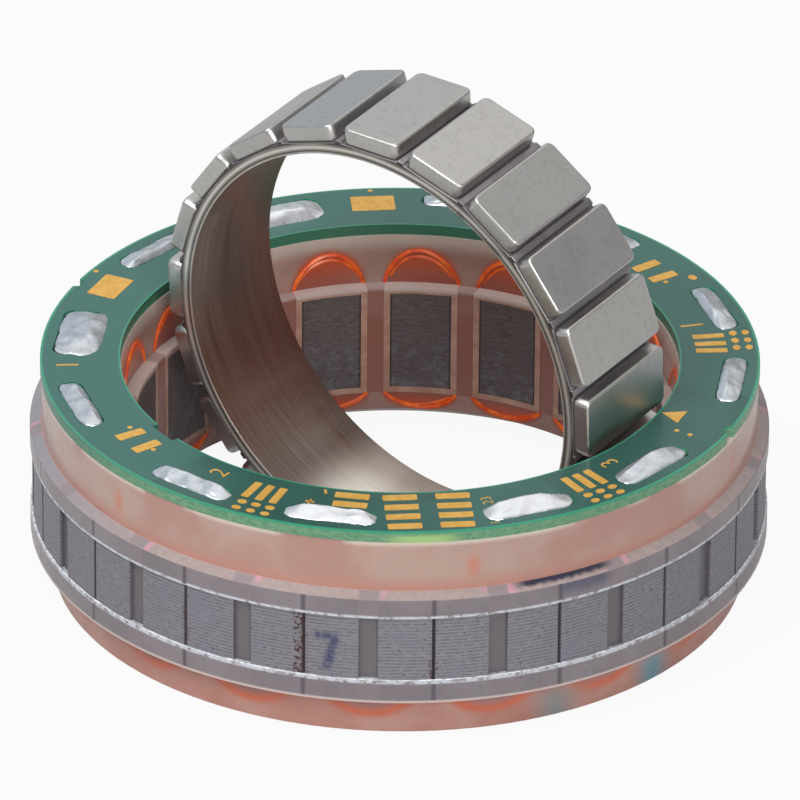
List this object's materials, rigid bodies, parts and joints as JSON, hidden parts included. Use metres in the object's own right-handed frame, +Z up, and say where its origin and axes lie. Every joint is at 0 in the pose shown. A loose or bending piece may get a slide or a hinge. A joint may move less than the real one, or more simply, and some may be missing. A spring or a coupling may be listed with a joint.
{
  "type": "frameless motor",
  "caption": "Frameless ring motor: potted toothed stator with a circuit board ring on top, and its loose magnet rotor ring standing on edge inside the stator's bore.",
  "frame": {"origin": "on the stator's axis, in the plane of the stator's bottom face, where both stator and rotor stand", "axes": "+Z up along the stator's axis towards the circuit board; -Y towards the rotor's lower, near rim; +X to the right seen from there"},
  "size_m": [0.07, 0.07, 0.049],
  "materials": {
    "lamination": "bare ground edges of thin electrical steel sheets",
    "bobbin_plastic": "moulded cream plastic, slightly translucent",
    "enamelled_wire": "orange enamelled copper wire",
    "potting_resin": "cast translucent pinkish resin, smooth",
    "board_laminate": "glass-fibre board under green solder mask",
    "solder": "bright, slightly crinkled tin solder",
    "rotor_steel": "turned bare steel",
    "magnet_plating": "satin nickel plating"
  },
  "bodies": {
    "root": {"core_segment_01": "lamination", "core_segment_02": "lamination", "core_segment_03": "lamination", "core_segment_04": "lamination", "core_segment_05": "lamination", "core_segment_06": "lamination", "core_segment_07": "lamination", "core_segment_08": "lamination", "core_segment_09": "lamination", "core_segment_10": "lamination", "core_segment_11": "lamination", "core_segment_12": "lamination", "core_segment_13": "lamination", "core_segment_14": "lamination", "core_segment_15": "lamination", "core_segment_16": "lamination", "core_segment_17": "lamination", "core_segment_18": "lamination", "bobbins": "bobbin_plastic", "phase_u_winding": "enamelled_wire", "phase_v_winding": "enamelled_wire", "phase_w_winding": "enamelled_wire", "potting": "potting_resin", "circuit_board": "board_laminate", "solder_joint_01": "solder", "solder_joint_02": "solder", "solder_joint_03": "solder", "solder_joint_04": "solder", "solder_joint_05": "solder", "solder_joint_06": "solder", "solder_joint_07": "solder", "solder_joint_08": "solder", "solder_joint_09": "solder", "solder_joint_10": "solder", "solder_joint_11": "solder", "solder_joint_12": "solder", "rotor_ring": "rotor_steel", "magnet_01": "magnet_plating", "magnet_02": "magnet_plating", "magnet_03": "magnet_plating", "magnet_04": "magnet_plating", "magnet_05": "magnet_plating", "magnet_06": "magnet_plating", "magnet_07": "magnet_plating", "magnet_08": "magnet_plating", "magnet_09": "magnet_plating", "magnet_10": "magnet_plating", "magnet_11": "magnet_plating", "magnet_12": "magnet_plating", "magnet_13": "magnet_plating", "magnet_14": "magnet_plating", "magnet_15": "magnet_plating", "magnet_16": "magnet_plating", "magnet_17": "magnet_plating", "magnet_18": "magnet_plating", "magnet_19": "magnet_plating", "magnet_20": "magnet_plating"}
  },
  "joints": []
}
